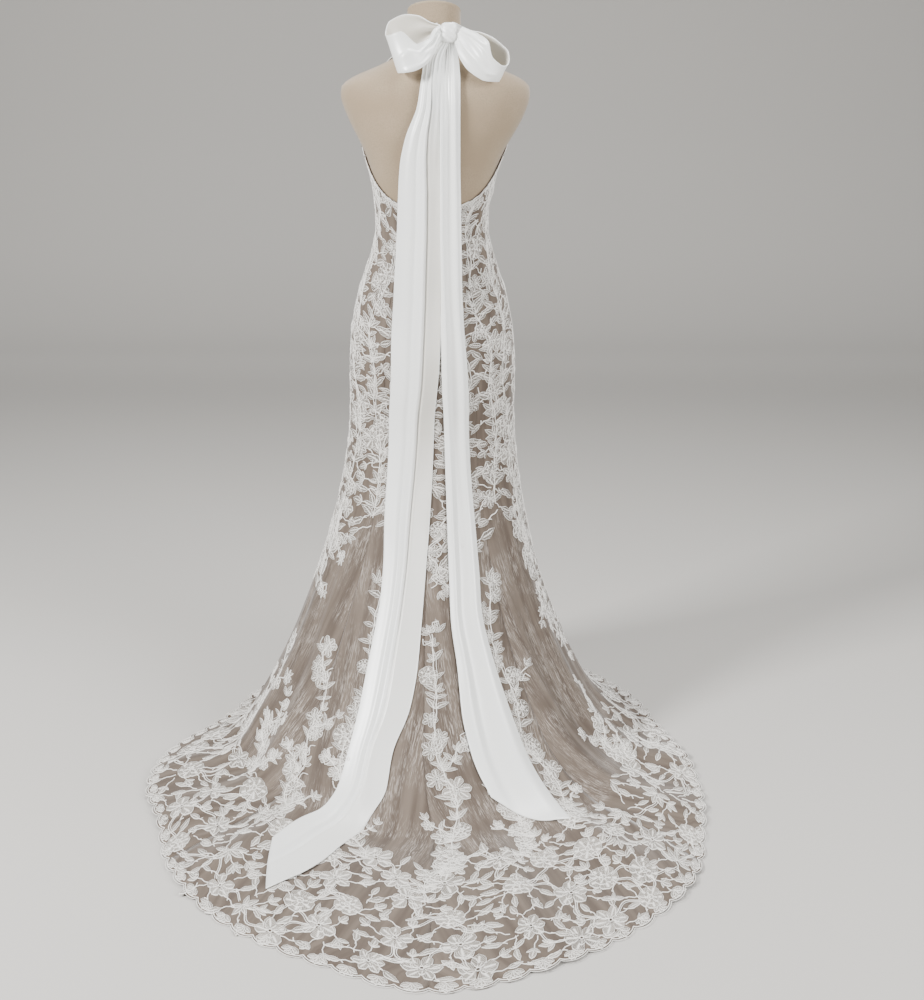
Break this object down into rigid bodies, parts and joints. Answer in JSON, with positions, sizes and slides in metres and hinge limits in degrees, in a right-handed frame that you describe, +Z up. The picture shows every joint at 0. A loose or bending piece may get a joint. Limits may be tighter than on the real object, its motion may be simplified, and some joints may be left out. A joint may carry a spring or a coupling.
{
  "type": "mermaid gown on a dress form",
  "caption": "Long lace mermaid gown with a low back, halter ties in a bow, long sash tails and a spread train, standing on a limbless dress form.",
  "frame": {"origin": "centre of the stand base's underside, on the floor", "axes": "+Z up; +Y the way the form faces; -Y towards the train and the bow; +X towards the wearer's right"},
  "size_m": [1.1063, 1.4254, 1.5031],
  "materials": {
    "lace_cloth": "ivory corded lace and tulle over nude lining",
    "satin": "soft ivory satin",
    "form_cover": "beige woven cover",
    "stand_metal": "dark satin paint"
  },
  "bodies": {
    "root": {"gore_back_right": "lace_cloth", "gore_back_left": "lace_cloth", "gore_side_back_right": "lace_cloth", "gore_side_back_left": "lace_cloth", "gore_side_front_right": "lace_cloth", "gore_side_front_left": "lace_cloth", "gore_front": "lace_cloth", "halter_tie_right": "satin", "halter_tie_left": "satin", "bow_knot": "satin", "bow_loop_left": "satin", "bow_loop_right": "satin", "tail_left": "satin", "tail_right": "satin", "dress_form": "form_cover", "neck_cap": "stand_metal", "stand_pole": "stand_metal", "stand_base": "stand_metal"}
  },
  "joints": []
}
